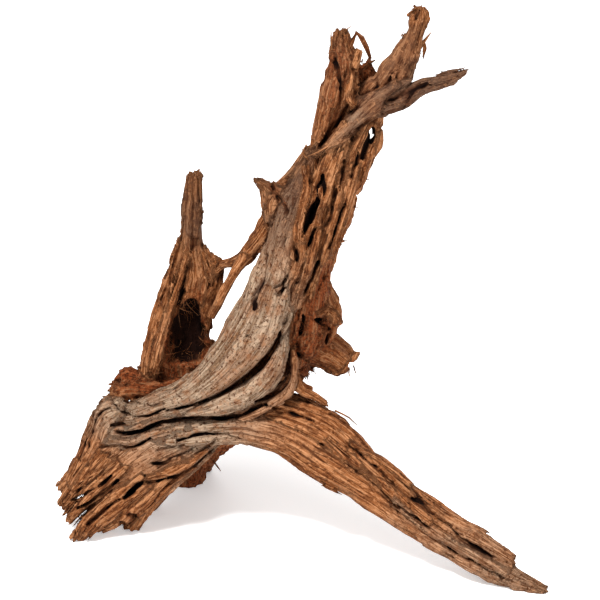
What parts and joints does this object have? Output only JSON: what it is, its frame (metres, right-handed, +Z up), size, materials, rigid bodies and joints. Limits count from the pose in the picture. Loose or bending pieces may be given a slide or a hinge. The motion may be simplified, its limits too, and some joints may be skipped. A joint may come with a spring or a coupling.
{
  "type": "piece of driftwood",
  "caption": "Weathered, twisted stump of driftwood that stands on its torn root ends, with a leaning forked trunk, a spike and a long side root.",
  "frame": {"origin": "middle of the bounding box, on the plane that the root ends stand on", "axes": "+Z up, -Y towards the pale, grooved front side, +X towards the tip of the long side root"},
  "size_m": [0.325, 0.1658, 0.3585],
  "materials": {
    "wood": "weathered, matt, open grain"
  },
  "bodies": {
    "root": {"driftwood": "wood"}
  },
  "joints": []
}
